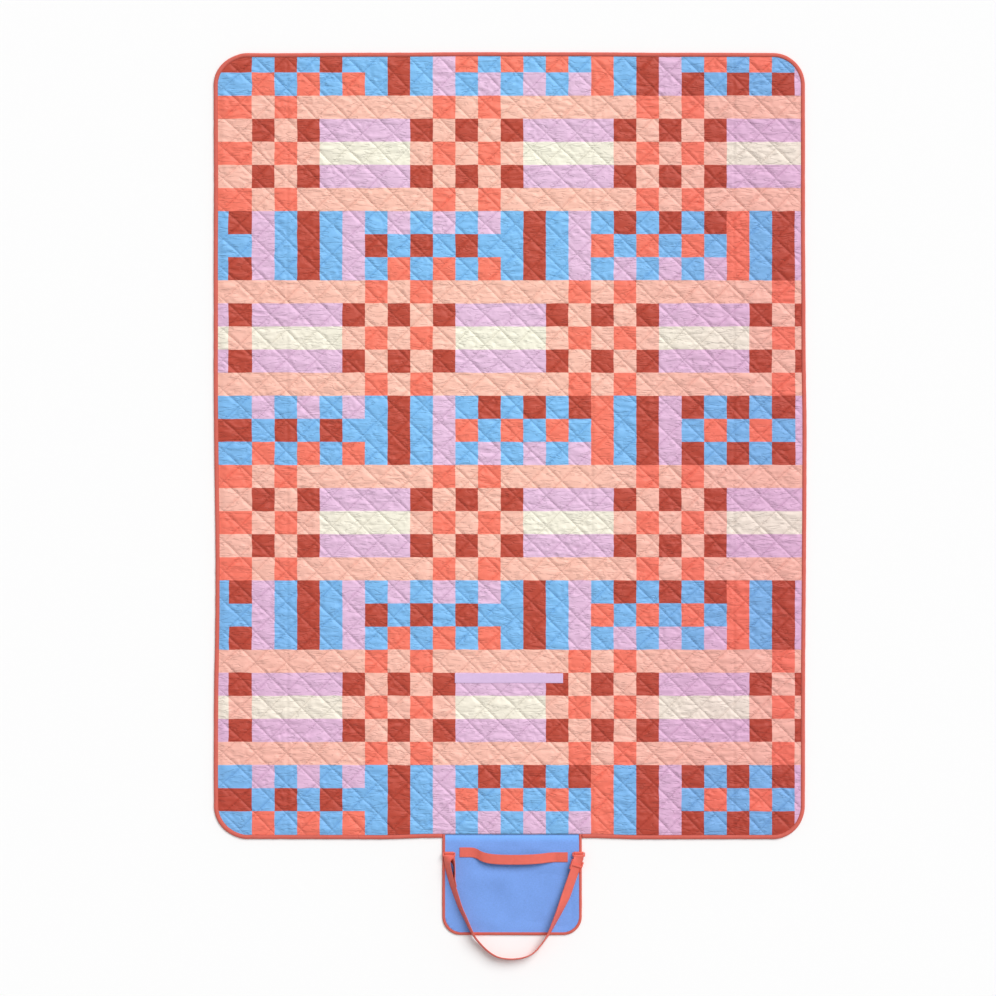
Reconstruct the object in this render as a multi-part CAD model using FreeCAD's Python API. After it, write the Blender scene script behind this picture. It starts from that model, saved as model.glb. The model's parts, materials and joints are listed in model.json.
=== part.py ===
"""Camp blanket with a carrying flap: a quilted picnic blanket that folds into five panels.

Millimetres. The origin is the middle of the blanket's underside, +Z is up through the printed
side, and the carrying flap leaves the blanket at its -Y edge.
"""

import FreeCAD, Part
import math
import os

V = FreeCAD.Vector

# Blanket: outline and layers
BLANKET_WIDTH = 1500.0
BLANKET_LENGTH = 2000.0
CORNER_RADIUS = 80.0
BACKING_THICKNESS = 0.4
TOP_THICKNESS = 0.4
QUILT_THICKNESS = 6.0

# Edge binding: a folded tape, U-shaped in section
BINDING_WIDTH = 12.0
BINDING_LEG = 0.8

# Fold lines across the width; the outer pair fold first, then the inner pair
INNER_FOLD_X = 207.0
OUTER_FOLD_X = 570.0
FOLD_GAP = 0.5

# Carrying flap, sewn to the middle of the blanket's -Y edge
FLAP_CENTRE_X = 4.0
FLAP_WIDTH = 356.0
FLAP_LENGTH = 250.0
FLAP_CORNER_RADIUS = 48.0
FLAP_SEAM_GAP = 0.6
FLAP_LIFT = 1.2
FLAP_THICKNESS = 2.4
FLAP_SKIN = 0.5
FLAP_BINDING_WIDTH = 10.0

# Hook-and-loop tapes
TAPE_WIDTH = 25.0
TAPE_LENGTH = 276.0
TAPE_CENTRE_X = -4.0
TAPE_THICKNESS = 1.2
LOOP_TAPE_Y = -594.0
HOOK_TAPE_Y = -1222.0

# Webbing of the carry handle and the shoulder strap
WEBBING_WIDTH = 25.0
WEBBING_THICKNESS = 1.6

# Carry handle: sewn ends, and the free span as (x, y, height of its underside over the flap)
HANDLE_END_LENGTH = 34.0
HANDLE_LEFT_END = (-113.0, -1040.0)
HANDLE_RIGHT_END = (129.0, -1052.0)
HANDLE_GAP = 0.4
HANDLE_SPAN = [
    (-95.6, -1040.0, 0.8),
    (-86.0, -1043.0, 3.5),
    (-74.0, -1050.0, 9.5),
    (-58.0, -1055.5, 15.0),
    (-34.0, -1057.5, 18.5),
    (-5.0, -1058.0, 20.0),
    (25.0, -1058.0, 20.0),
    (54.0, -1057.0, 17.5),
    (78.0, -1055.0, 12.0),
    (96.0, -1053.0, 5.5),
    (111.6, -1052.0, 0.8),
]

# Side rings, which join the shoulder strap to the flap
RING_LEFT_X = -157.0
RING_RIGHT_X = 174.0
RING_Y = -1040.0
RING_WIRE_RADIUS = 1.6
RING_INSIDE_WIDTH = 26.0
RING_DEPTH = 9.0
RING_LEAN = 35.0
RUNNING_GAP = 0.15
TAB_WIDTH = 24.0
TAB_LENGTH = 17.0

# Shoulder strap: (x, y, tilt of its width from flat, height of its lower edge, layers of webbing)
STRAP_LEFT_RUN = [
    (-158.0, -1060.0, 12.0, 8.4, 2),
    (-157.0, -1075.0, 30.0, 5.6, 2),
    (-153.5, -1095.0, 45.0, 4.8, 2),
    (-147.5, -1120.0, 52.0, 4.4, 2),
    (-146.0, -1125.0, 53.0, 4.4, 1),
    (-138.0, -1150.0, 58.0, 4.4, 1),
    (-128.0, -1178.0, 64.0, 4.4, 1),
    (-115.0, -1206.0, 70.0, 4.4, 1),
    (-103.0, -1232.0, 76.0, 4.4, 1),
    (-91.0, -1254.0, 82.0, 4.4, 1),
]
STRAP_LOOP = [
    (-80.0, -1268.0, 86.0, 1.6, 1),
    (-67.0, -1282.0, 88.0, 0.0, 1),
    (-53.0, -1294.0, 90.0, 0.0, 1),
    (-38.0, -1303.0, 90.0, 0.0, 1),
    (-20.0, -1309.5, 90.0, 0.0, 1),
    (1.0, -1312.0, 90.0, 0.0, 1),
    (22.0, -1310.5, 90.0, 0.0, 1),
    (40.0, -1305.5, 90.0, 0.0, 1),
    (55.0, -1298.0, 90.0, 0.0, 1),
    (67.0, -1287.0, 88.0, 0.0, 1),
    (77.0, -1275.0, 86.0, 1.2, 1),
]
STRAP_RIGHT_RUN = [
    (88.0, -1260.0, 82.0, 4.4, 1),
    (98.0, -1244.0, 76.0, 4.4, 1),
    (108.5, -1222.0, 68.0, 4.4, 1),
    (119.0, -1200.0, 58.0, 5.0, 1),
    (130.0, -1175.0, 44.0, 7.0, 1),
]
SLIDER_RUN_START = (172.5, -1058.0)
SLIDER_RUN_END = (141.5, -1147.0)
SLIDER_RUN_TILT = 25.0
SLIDER_RUN_HEIGHT = 9.0
STRAP_TUCK = 0.6

# Slider: a three-bar adjuster threaded on the strap
SLIDER_LENGTH = 26.0
SLIDER_WIDTH = 33.0
SLIDER_HEIGHT = 6.8
SLIDER_BAR = 5.0
SLIDER_GAP = 0.4
SLIDER_FROM_RUN_START = 14.0

# Worked out
HALF_WIDTH = BLANKET_WIDTH / 2
HALF_LENGTH = BLANKET_LENGTH / 2
FLAP_BOTTOM = FLAP_LIFT
FLAP_TOP = FLAP_LIFT + FLAP_THICKNESS
FLAP_SEAM_Y = -HALF_LENGTH - FLAP_SEAM_GAP
FLAP_END_Y = -HALF_LENGTH - FLAP_LENGTH
PANELS = {
    "left_outer": (-HALF_WIDTH - 1, -OUTER_FOLD_X - FOLD_GAP / 2),
    "left_inner": (-OUTER_FOLD_X + FOLD_GAP / 2, -INNER_FOLD_X - FOLD_GAP / 2),
    "centre": (-INNER_FOLD_X + FOLD_GAP / 2, INNER_FOLD_X - FOLD_GAP / 2),
    "right_inner": (INNER_FOLD_X + FOLD_GAP / 2, OUTER_FOLD_X - FOLD_GAP / 2),
    "right_outer": (OUTER_FOLD_X + FOLD_GAP / 2, HALF_WIDTH + 1),
}


def save(shape, node):
    """Write one node, after checking that it is closed and sound."""
    shape = shape.removeSplitter()
    if not shape.isValid() or shape.Volume <= 0:
        raise ValueError(node + " is not a sound solid")
    shape.exportStep("parts/" + node + ".step")
    print("%-22s solids %2d  volume %10.1f mm3" % (node, len(shape.Solids), shape.Volume))


def box(x0, x1, y0, y1, z0, z1):
    return Part.makeBox(x1 - x0, y1 - y0, z1 - z0, V(x0, y0, z0))


def rod_along_x(radius, x0, x1, y, z):
    return Part.makeCylinder(radius, x1 - x0, V(x0, y, z), V(1, 0, 0))


def rounded(slab, radius, only_below=None):
    """Round a slab's upright edges, all of them or only those with y under a limit."""
    edges = []
    for edge in slab.Edges:
        a, b = edge.Vertexes[0].Point, edge.Vertexes[1].Point
        upright = abs(a.z - b.z) > 1e-6
        if upright and (only_below is None or a.y < only_below):
            edges.append(edge)
    return slab.makeFillet(radius, edges)


def blanket_slab(inset, z0, z1):
    """The blanket's outline, drawn in by inset, as a slab."""
    slab = box(-HALF_WIDTH + inset, HALF_WIDTH - inset, -HALF_LENGTH + inset, HALF_LENGTH - inset, z0, z1)
    return rounded(slab, CORNER_RADIUS - inset)


def flap_slab(inset, z0, z1, seam_y=FLAP_SEAM_Y):
    """The flap's outline, drawn in by inset on its three free sides, as a slab."""
    half = FLAP_WIDTH / 2 - inset
    slab = box(FLAP_CENTRE_X - half, FLAP_CENTRE_X + half, FLAP_END_Y + inset, seam_y, z0, z1)
    return rounded(slab, FLAP_CORNER_RADIUS - inset, only_below=FLAP_END_Y + inset + 1)


def panel_of(layer, panel):
    """The part of a whole blanket layer between one panel's two fold lines."""
    x0, x1 = PANELS[panel]
    return layer.common(box(x0, x1, -HALF_LENGTH - 1, HALF_LENGTH + 1, -1, QUILT_THICKNESS + 1))


def quilt():
    """The five panels' layers, the binding round them and the facing at the flap's seam."""
    inner_low = BACKING_THICKNESS
    inner_high = QUILT_THICKNESS - TOP_THICKNESS
    slot_low = BINDING_LEG
    slot_high = QUILT_THICKNESS - BINDING_LEG
    backing = blanket_slab(BINDING_WIDTH, 0, inner_low)
    top = blanket_slab(BINDING_WIDTH, inner_high, QUILT_THICKNESS)
    wadding = blanket_slab(BINDING_WIDTH, inner_low, inner_high)
    wadding = wadding.fuse(blanket_slab(BINDING_LEG, slot_low, slot_high))
    binding = blanket_slab(0, 0, QUILT_THICKNESS).cut(blanket_slab(BINDING_WIDTH, 0, QUILT_THICKNESS))
    binding = binding.cut(blanket_slab(BINDING_LEG, slot_low, slot_high))
    facing_half = FLAP_WIDTH / 2
    at_flap = box(
        FLAP_CENTRE_X - facing_half,
        FLAP_CENTRE_X + facing_half,
        -HALF_LENGTH - 1,
        -HALF_LENGTH + BINDING_WIDTH + 1,
        -1,
        QUILT_THICKNESS + 1,
    )
    save(binding.common(at_flap), "seam_facing")
    binding = binding.cut(at_flap)
    for panel in PANELS:
        save(panel_of(backing, panel), "backing_" + panel)
        save(panel_of(wadding, panel), "wadding_" + panel)
        save(panel_of(top, panel), "top_sheet_" + panel)
        save(panel_of(binding, panel), "binding_" + panel)


def tapes():
    """The soft loop tape on the print and the hook tape under the flap's free end."""
    x0 = TAPE_CENTRE_X - TAPE_LENGTH / 2
    x1 = TAPE_CENTRE_X + TAPE_LENGTH / 2
    half = TAPE_WIDTH / 2
    loop_top = QUILT_THICKNESS + TAPE_THICKNESS
    save(box(x0, x1, LOOP_TAPE_Y - half, LOOP_TAPE_Y + half, QUILT_THICKNESS, loop_top), "loop_tape")
    save(box(x0, x1, HOOK_TAPE_Y - half, HOOK_TAPE_Y + half, FLAP_BOTTOM - TAPE_THICKNESS, FLAP_BOTTOM), "hook_tape")


def flap():
    """The flap's canvas, stiffener, lining and binding."""
    core_low = FLAP_BOTTOM + FLAP_SKIN
    core_high = FLAP_TOP - FLAP_SKIN
    save(flap_slab(FLAP_BINDING_WIDTH, core_high, FLAP_TOP), "flap_canvas")
    save(flap_slab(FLAP_BINDING_WIDTH, FLAP_BOTTOM, core_low), "flap_lining")
    stiffener = flap_slab(FLAP_SKIN, core_low, core_high)
    save(stiffener, "flap_stiffener")
    band = flap_slab(0, FLAP_BOTTOM, FLAP_TOP)
    band = band.cut(flap_slab(FLAP_BINDING_WIDTH, FLAP_BOTTOM, FLAP_TOP, FLAP_SEAM_Y + 1))
    save(band.cut(flap_slab(FLAP_SKIN, core_low, core_high, FLAP_SEAM_Y + 1)), "flap_binding")


def rectangle(centre, across, through, width, thickness):
    """A closed rectangle about centre, with unit directions across its width and its thickness."""
    corners = []
    for u, v in ((-1, -1), (1, -1), (1, 1), (-1, 1)):
        corners.append(centre + across * (u * width / 2) + through * (v * thickness / 2))
    return Part.makePolygon(corners + corners[:1])


def band(sections):
    """A closed solid through a row of rectangles."""
    return Part.makeLoft(sections, True, True)


def carry_handle():
    """The handle's sewn ends and its free span, which stands off the flap."""
    for node, (x, y) in (("handle_end_left", HANDLE_LEFT_END), ("handle_end_right", HANDLE_RIGHT_END)):
        half_x = HANDLE_END_LENGTH / 2
        half_y = WEBBING_WIDTH / 2
        end = box(x - half_x, x + half_x, y - half_y, y + half_y, FLAP_TOP, FLAP_TOP + WEBBING_THICKNESS)
        save(end, node)
    sections = []
    for x, y, height in HANDLE_SPAN:
        centre = V(x, y, FLAP_TOP + height + WEBBING_THICKNESS / 2)
        sections.append(rectangle(centre, V(0, 1, 0), V(0, 0, 1), WEBBING_WIDTH, WEBBING_THICKNESS))
    save(band(sections), "carry_handle")


def ring_bars():
    """Height of the ring's tab bar, and the place of its strap bar, in the YZ plane."""
    tab_z = FLAP_TOP + WEBBING_THICKNESS + RING_WIRE_RADIUS + RUNNING_GAP + 0.1
    lean = math.radians(RING_LEAN)
    return tab_z, RING_Y - RING_DEPTH * math.cos(lean), tab_z + RING_DEPTH * math.sin(lean)


def rings_and_tabs():
    """Each side ring, leaning back over the sewn webbing tab that holds it."""
    tab_z, strap_y, strap_z = ring_bars()
    offset = RING_INSIDE_WIDTH / 2 + RING_WIRE_RADIUS
    for side, x in (("left", RING_LEFT_X), ("right", RING_RIGHT_X)):
        ring = rod_along_x(RING_WIRE_RADIUS, x - offset, x + offset, RING_Y, tab_z)
        ring = ring.fuse(rod_along_x(RING_WIRE_RADIUS, x - offset, x + offset, strap_y, strap_z))
        for end_x in (x - offset, x + offset):
            start = V(end_x, RING_Y, tab_z)
            end = V(end_x, strap_y, strap_z)
            ring = ring.fuse(Part.makeCylinder(RING_WIRE_RADIUS, RING_DEPTH, start, end - start))
            ring = ring.fuse(Part.makeSphere(RING_WIRE_RADIUS, start))
            ring = ring.fuse(Part.makeSphere(RING_WIRE_RADIUS, end))
        save(ring, "ring_" + side)
        x0, x1 = x - TAB_WIDTH / 2, x + TAB_WIDTH / 2
        bore = RING_WIRE_RADIUS + RUNNING_GAP
        tab = rod_along_x(bore + WEBBING_THICKNESS, x0, x1, RING_Y, tab_z)
        tab_top = FLAP_TOP + 2 * WEBBING_THICKNESS
        tab = tab.fuse(box(x0, x1, RING_Y - TAB_LENGTH, RING_Y, FLAP_TOP, tab_top))
        save(tab.cut(rod_along_x(bore, x0 - 1, x1 + 1, RING_Y, tab_z)), "ring_tab_" + side)


def strap_section(place, travel, tilt, lower_edge, layers):
    """A section of the strap: its width leans from flat towards the inside of the loop."""
    lean = math.radians(tilt)
    inward = V(-travel.y, travel.x, 0)
    across = inward * math.cos(lean) + V(0, 0, math.sin(lean))
    through = travel.cross(across)
    thickness = layers * WEBBING_THICKNESS
    rise = WEBBING_WIDTH / 2 * math.sin(lean) + thickness / 2 * math.cos(lean)
    centre = V(place[0], place[1], lower_edge + rise)
    return rectangle(centre, across, through, WEBBING_WIDTH, thickness), centre


def slider_run():
    """The straight stretch of strap that the slider travels: start, direction, width and normal."""
    start = V(SLIDER_RUN_START[0], SLIDER_RUN_START[1], 0)
    end = V(SLIDER_RUN_END[0], SLIDER_RUN_END[1], 0)
    back = (start - end).normalize()
    lean = math.radians(SLIDER_RUN_TILT)
    inward = V(-back.y, back.x, 0)
    across = inward * math.cos(lean) + V(0, 0, math.sin(lean))
    return start, back * -1, across, back.cross(across)


def shoulder_strap():
    """The strap from ring to ring, standing mostly on its edge, with its left end doubled."""
    tab_z, bar_y, bar_z = ring_bars()
    run_end = SLIDER_RUN_END + (SLIDER_RUN_TILT, SLIDER_RUN_HEIGHT, 1)
    run_start = SLIDER_RUN_START + (SLIDER_RUN_TILT, SLIDER_RUN_HEIGHT, 1)
    route = STRAP_LEFT_RUN + STRAP_LOOP + STRAP_RIGHT_RUN + [run_end, run_start]
    flat = WEBBING_THICKNESS
    at_bar = TAB_WIDTH - STRAP_TUCK
    left_bar = rectangle(V(RING_LEFT_X, bar_y, bar_z), V(1, 0, 0), V(0, 0, 1), at_bar, 2 * flat)
    right_bar = rectangle(V(RING_RIGHT_X, bar_y, bar_z), V(-1, 0, 0), V(0, 0, 1), at_bar, flat)
    sections = [left_bar]
    length = 0.0
    before = V(RING_LEFT_X, bar_y, bar_z)
    for i, (x, y, tilt, lower_edge, layers) in enumerate(route):
        ahead = route[min(i + 1, len(route) - 1)]
        behind = route[max(i - 1, 0)]
        travel = V(ahead[0] - behind[0], ahead[1] - behind[1], 0).normalize()
        if i >= len(route) - 2:
            travel = slider_run()[1] * -1
        section, centre = strap_section((x, y), travel, tilt, lower_edge, layers)
        sections.append(section)
        length += (centre - before).Length
        before = centre
    length += (V(RING_RIGHT_X, bar_y, bar_z) - before).Length
    strap = band(sections + [right_bar])
    wrap = RING_WIRE_RADIUS + RUNNING_GAP
    for x in (RING_LEFT_X, RING_RIGHT_X):
        x0, x1 = x - TAB_WIDTH / 2, x + TAB_WIDTH / 2
        strap = strap.fuse(rod_along_x(wrap + WEBBING_THICKNESS, x0, x1, bar_y, bar_z))
    for x in (RING_LEFT_X, RING_RIGHT_X):
        strap = strap.cut(rod_along_x(wrap, x - WEBBING_WIDTH, x + WEBBING_WIDTH, bar_y, bar_z))
    save(strap, "shoulder_strap")
    print("strap length between the rings %.0f mm" % length)


def strap_slider():
    """Two side rails, two bars over the strap and one bar under it."""
    start, along, across, up = slider_run()
    rise = WEBBING_WIDTH / 2 * across.z + WEBBING_THICKNESS / 2 * up.z
    centre = start + along * SLIDER_FROM_RUN_START + V(0, 0, SLIDER_RUN_HEIGHT + rise)
    turn = FreeCAD.Rotation(along, across, up, "XYZ")
    half_length, half_width, half_height = SLIDER_LENGTH / 2, SLIDER_WIDTH / 2, SLIDER_HEIGHT / 2
    rail = WEBBING_WIDTH / 2 + SLIDER_GAP
    clear = WEBBING_THICKNESS / 2 + SLIDER_GAP
    body = box(-half_length, half_length, rail, half_width, -half_height, half_height)
    body = body.fuse(box(-half_length, half_length, -half_width, -rail, -half_height, half_height))
    for x in (-half_length, half_length - SLIDER_BAR):
        body = body.fuse(box(x, x + SLIDER_BAR, -half_width, half_width, clear, half_height))
    half_bar = SLIDER_BAR / 2
    body = body.fuse(box(-half_bar, half_bar, -half_width, half_width, -half_height, -clear))
    body.Placement = FreeCAD.Placement(centre, turn)
    save(body, "strap_slider")
    print("slider axis", [round(c, 4) for c in along], "centre", [round(c, 2) for c in centre])


os.makedirs("parts", exist_ok=True)
quilt()
tapes()
flap()
carry_handle()
rings_and_tabs()
shoulder_strap()
strap_slider()
tab_bar_z, strap_bar_y, strap_bar_z = ring_bars()
print("ring tab bar z %.2f, strap bar y %.2f z %.2f" % (tab_bar_z, strap_bar_y, strap_bar_z))
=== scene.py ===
import bpy
import bmesh
import json
import math
import numpy as np
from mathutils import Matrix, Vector


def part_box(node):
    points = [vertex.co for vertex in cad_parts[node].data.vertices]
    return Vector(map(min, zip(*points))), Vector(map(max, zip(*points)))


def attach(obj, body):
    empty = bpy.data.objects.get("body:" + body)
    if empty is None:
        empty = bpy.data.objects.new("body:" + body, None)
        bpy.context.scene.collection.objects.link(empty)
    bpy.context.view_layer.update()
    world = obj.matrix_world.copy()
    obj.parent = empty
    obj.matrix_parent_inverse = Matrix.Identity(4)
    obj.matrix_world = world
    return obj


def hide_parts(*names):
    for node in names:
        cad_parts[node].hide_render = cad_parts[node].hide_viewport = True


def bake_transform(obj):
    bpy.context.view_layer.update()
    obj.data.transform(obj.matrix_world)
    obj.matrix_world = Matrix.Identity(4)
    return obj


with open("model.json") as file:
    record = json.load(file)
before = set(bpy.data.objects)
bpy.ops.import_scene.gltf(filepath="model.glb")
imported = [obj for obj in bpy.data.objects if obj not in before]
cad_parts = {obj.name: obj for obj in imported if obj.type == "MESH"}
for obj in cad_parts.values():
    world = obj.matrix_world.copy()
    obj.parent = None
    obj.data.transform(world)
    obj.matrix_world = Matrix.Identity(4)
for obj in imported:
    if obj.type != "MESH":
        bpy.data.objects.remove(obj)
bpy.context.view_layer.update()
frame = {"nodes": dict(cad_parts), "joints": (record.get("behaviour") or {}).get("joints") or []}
joints = {joint["name"]: joint for joint in frame["joints"]}


# Camera: straight above the spread blanket, far off with a long lens, so that its edges look parallel.
# The blanket with its flap sits a little above and right of the middle of the view.
scene = bpy.context.scene
view_middle = (-0.032, -0.134)
view_width = 2.544
camera_height = 9.0
lens = bpy.data.cameras.new("camera")
lens.angle = 2 * math.atan(view_width / 2 / camera_height)
camera = bpy.data.objects.new("camera", lens)
camera.location = (view_middle[0], view_middle[1], camera_height)
scene.collection.objects.link(camera)
scene.camera = camera


# Floor and light: a white studio floor, an even white surround and one broad soft key light.
# The key light comes from the far right, half way up, and gives the quilting its gentle relief.
class Signal:
    """A socket in a material; arithmetic on it adds the Math nodes."""

    def __init__(self, tree, socket):
        self.tree = tree
        self.socket = socket

    def node(self, kind, settings, inputs, output=0):
        """Add one node: its settings first, then the values or links of its sockets."""
        made = self.tree.nodes.new("ShaderNode" + kind)
        for name, value in settings.items():
            if name == "stops":
                made.color_ramp.interpolation = "CONSTANT"
                set_stops(made.color_ramp, value)
            else:
                setattr(made, name, value)
        for name, value in inputs.items():
            if isinstance(value, Signal):
                self.tree.links.new(value.socket, made.inputs[name])
            else:
                made.inputs[name].default_value = value
        return Signal(self.tree, made.outputs[output])

    def maths(self, operation, first, second=0.0):
        return self.node("Math", {"operation": operation}, {0: first, 1: second})

    def __add__(self, other):
        return self.maths("ADD", self, other)

    def __sub__(self, other):
        return self.maths("SUBTRACT", self, other)

    def __rsub__(self, other):
        return self.maths("SUBTRACT", other, self)

    def __mul__(self, other):
        return self.maths("MULTIPLY", self, other)

    __radd__ = __add__
    __rmul__ = __mul__


def set_stops(ramp, stops):
    """Set a colour ramp's stops from (place, colour) pairs."""
    ramp.elements.remove(ramp.elements[1])
    ramp.elements[0].position = stops[0][0]
    ramp.elements[0].color = tuple(stops[0][1]) + (1.0,)
    for place, colour in stops[1:]:
        ramp.elements.new(place).color = tuple(colour) + (1.0,)


def new_material(name, **constants):
    """A material with its shader's constant sockets set; returns it, a first signal and the shader."""
    material = bpy.data.materials.new(name)
    material.use_nodes = True
    tree = material.node_tree
    shader = tree.nodes["Principled BSDF"]
    for socket, value in constants.items():
        shader.inputs[socket.replace("_", " ")].default_value = value
    return material, Signal(tree, None), shader


floor_size = 240.0
floor_drop = 0.0006
floor_white = 0.972
overhead_strength = 0.41
sun_strength = 2.52
sun_spread = math.radians(42)
sun_from = Vector((0.86, 1.12, 1.48))

shell = bmesh.new()
bmesh.ops.create_grid(shell, x_segments=1, y_segments=1, size=floor_size / 2)
bmesh.ops.translate(shell, verts=shell.verts, vec=(0, 0, -floor_drop))
floor_mesh = bpy.data.meshes.new("studio_floor")
shell.to_mesh(floor_mesh)
shell.free()
floor = bpy.data.objects.new("studio_floor", floor_mesh)
scene.collection.objects.link(floor)
floor_paint, _, floor_shader = new_material("floor_paint", Roughness=0.9)
floor_shader.inputs["Base Color"].default_value = (floor_white, floor_white, floor_white, 1)
floor_mesh.materials.append(floor_paint)

scene.view_settings.view_transform = "Standard"
surround = bpy.data.worlds.new("surround")
surround.use_nodes = True
surround.node_tree.nodes["Background"].inputs["Color"].default_value = (1.0, 1.0, 1.0, 1)
sky = Signal(surround.node_tree, None)
height = sky.node("SeparateXYZ", {}, {0: sky.node("TexCoord", {}, {})}, 2)
strength = sky.node("MapRange", {}, {0: height, 1: 0.10, 2: 0.30, 3: 0.97, 4: overhead_strength})
surround.node_tree.links.new(strength.socket, surround.node_tree.nodes["Background"].inputs["Strength"])
scene.world = surround
sun = bpy.data.lights.new("window_light", "SUN")
sun.energy = sun_strength
sun.angle = sun_spread
sun_object = bpy.data.objects.new("window_light", sun)
sun_object.location = sun_from * 2
sun_object.rotation_euler = (-sun_from).to_track_quat("-Z", "Y").to_euler()
scene.collection.objects.link(sun_object)


# Quilt top: one sheet of block-printed cotton, stitched down through the wadding in diamonds.
# It is made in four stretches, each lying across one fold line, and each puffs up between its stitches.
half_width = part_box("binding_right_outer")[1].x
half_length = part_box("binding_right_outer")[1].y
quilt_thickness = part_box("top_sheet_centre")[1].z
corner_radius = 0.080
fold_x = {name: joints[name]["pos_m"][0] for name in joints if "fold" in name}
stretches = {
    "left_outer": ("left_outer_fold", "left_outer_panel", "left_inner_panel"),
    "left_inner": ("left_inner_fold", "left_inner_panel", "centre_panel"),
    "right_inner": ("right_inner_fold", "centre_panel", "right_inner_panel"),
    "right_outer": ("right_outer_fold", "right_inner_panel", "right_outer_panel"),
}
stretch_nodes = {
    "left_outer": ("left_outer",),
    "left_inner": ("left_inner", "centre"),
    "right_inner": ("right_inner",),
    "right_outer": ("right_outer",),
}
inner_middle = (fold_x["right_inner_fold"] + fold_x["right_outer_fold"]) / 2

diamond_width = 0.0782
diamond_length = 0.0772
quads_per_diamond = 24
crossing = (-0.378, -0.129)
step_x = diamond_width / quads_per_diamond
step_y = diamond_length / quads_per_diamond
columns = np.arange(-116, 349)
rows = np.arange(-352, 273)
seam_row = 269
seam_y = crossing[1] - seam_row * step_y
grid_column, grid_row = np.meshgrid(columns, rows)
sheet_x = crossing[0] + grid_column * step_x
sheet_y = crossing[1] - grid_row * step_y


def rim_distance(x, y, half_x, half_y, radius):
    """How far inside a rounded rectangle's edge each point lies."""
    over_x = np.abs(x) - (half_x - radius)
    over_y = np.abs(y) - (half_y - radius)
    outside = np.hypot(np.maximum(over_x, 0), np.maximum(over_y, 0))
    return radius - outside - np.minimum(np.maximum(over_x, over_y), 0)


def smooth(edge_low, edge_high, value):
    t = np.clip((value - edge_low) / (edge_high - edge_low), 0, 1)
    return t * t * (3 - 2 * t)


def as_it_lies(x, y):
    """Shift points of the blanket's margin a few millimetres, because its edges don't lie quite straight."""
    margin_start, margin_end = 0.69, 0.752
    left, right = smooth(margin_start, margin_end, -x), smooth(margin_start, margin_end, x)
    bow_left = 0.0012 + 0.0046 * (1 - np.exp(-(((y + 0.33) / 0.26) ** 2)))
    bow_right = 0.0042 * np.exp(-(((y + 0.10) / 0.38) ** 2))
    clear_of_flap = smooth(0.20, 0.34, np.abs(x))
    bow_bottom = 0.0034 * smooth(0.93, 1.0, -y) * clear_of_flap
    bow_top = 0.0026 * smooth(0.93, 1.0, y) * np.exp(-((x / 0.5) ** 2))
    return x - bow_left * left + bow_right * right, y - bow_bottom + bow_top


def cloth_noise(u, v, seed):
    """Smooth random values from 0 to 1, one lump to each whole step of u and v."""
    table = np.random.default_rng(seed).random((256, 256))
    iu, iv = np.floor(u).astype(int), np.floor(v).astype(int)
    fu, fv = smooth(0, 1, u - iu), smooth(0, 1, v - iv)
    low = table[iu % 256, iv % 256] * (1 - fu) + table[(iu + 1) % 256, iv % 256] * fu
    high = table[iu % 256, (iv + 1) % 256] * (1 - fu) + table[(iu + 1) % 256, (iv + 1) % 256] * fu
    return low * (1 - fv) + high * fv


def seam_distance(column, row):
    """How far each grid point is from the nearest seam of each diagonal set, from 0 to 1 midway."""
    half = quads_per_diamond / 2
    falling = (column - row) % quads_per_diamond
    rising = (column + row) % quads_per_diamond
    return np.minimum(falling, 2 * half - falling) / half, np.minimum(rising, 2 * half - rising) / half


def grid_mesh(name, column_count, row_count):
    """A flat sheet of quads, with each vertex's column and row counted from the top left."""
    shell = bmesh.new()
    bmesh.ops.create_grid(shell, x_segments=column_count, y_segments=row_count, size=1.0)
    mesh = bpy.data.meshes.new(name)
    shell.to_mesh(mesh)
    shell.free()
    flat = np.empty(len(mesh.vertices) * 3)
    mesh.vertices.foreach_get("co", flat)
    flat = flat.reshape(-1, 3)
    column = np.rint((flat[:, 0] + 1) / 2 * column_count).astype(int)
    row = np.rint((1 - flat[:, 1]) / 2 * row_count).astype(int)
    return mesh, column, row


def move_vertices(mesh, points):
    mesh.vertices.foreach_set("co", np.asarray(points, float).ravel())
    mesh.update()


def vertex_points(mesh):
    points = np.empty(len(mesh.vertices) * 3)
    mesh.vertices.foreach_get("co", points)
    return points.reshape(-1, 3)


def trim(mesh, unwanted):
    """Delete the marked vertices and the faces that use them."""
    shell = bmesh.new()
    shell.from_mesh(mesh)
    shell.verts.ensure_lookup_table()
    doomed = [shell.verts[i] for i in np.flatnonzero(unwanted)]
    bmesh.ops.delete(shell, geom=doomed, context="VERTS")
    shell.to_mesh(mesh)
    shell.free()


def map_flat(mesh, name, points):
    """Give the mesh a UV map that holds each vertex's two flat coordinates, in metres."""
    corner = np.empty(len(mesh.loops), int)
    mesh.loops.foreach_get("vertex_index", corner)
    layer = mesh.uv_layers.new(name=name)
    layer.data.foreach_set("uv", np.asarray(points, float)[corner].ravel())


def add_piece(name, mesh, material):
    """Put a finished mesh into the scene, smooth-shaded, with its material."""
    mesh.polygons.foreach_set("use_smooth", np.ones(len(mesh.polygons), bool))
    mesh.materials.append(material)
    piece = bpy.data.objects.new(name, mesh)
    scene.collection.objects.link(piece)
    return piece


def add_cloth(name, mesh, normals, unwanted, material):
    """Trim a sheet and add it, shaded by the normals of the whole untrimmed cloth."""
    normal = mesh.attributes.new("cloth_normal", "FLOAT_VECTOR", "POINT")
    normal.data.foreach_set("vector", normals.ravel())
    trim(mesh, unwanted)
    piece = add_piece(name, mesh, material)
    kept = np.empty(len(mesh.vertices) * 3)
    mesh.attributes["cloth_normal"].data.foreach_get("vector", kept)
    mesh.normals_split_custom_set_from_vertices(kept.reshape(-1, 3))
    mesh.attributes.remove(mesh.attributes["cloth_normal"])
    return piece


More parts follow.
